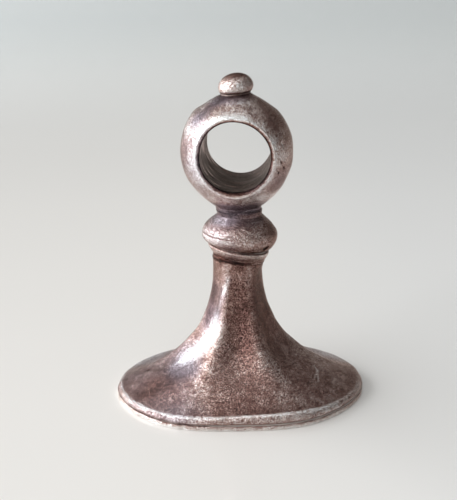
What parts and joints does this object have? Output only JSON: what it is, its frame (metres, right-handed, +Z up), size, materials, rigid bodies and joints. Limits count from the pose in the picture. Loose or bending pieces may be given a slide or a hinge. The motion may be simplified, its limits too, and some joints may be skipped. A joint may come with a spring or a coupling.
{
  "type": "seal matrix",
  "caption": "Small silver hand seal: engraved oval die under a trumpet-shaped six-sided handle, with a collar, a knop and a round pierced bow topped by a bead.",
  "frame": {"origin": "middle of the engraved face of the die, on the surface that the seal stands on", "axes": "+X along the oval die's long axis, +Y to the back along the eye of the bow, +Z up from the die to the bead"},
  "size_m": [0.024, 0.0182, 0.0306],
  "materials": {
    "die_silver": "cleaned silver with a grey-brown tarnish",
    "handle_silver": "silver under a red-brown, mottled tarnish, worn bright on edges",
    "upper_silver": "silver under a lighter red-brown tarnish, worn bright on edges",
    "solder": "blackened silver solder"
  },
  "bodies": {
    "root": {"die_plate": "die_silver", "die_solder": "solder", "handle": "handle_silver", "collar_lower_solder": "solder", "collar": "upper_silver", "collar_upper_solder": "solder", "knop": "upper_silver", "bow_solder": "solder", "bow": "upper_silver", "finial_solder": "solder", "finial_bead": "upper_silver"}
  },
  "joints": []
}
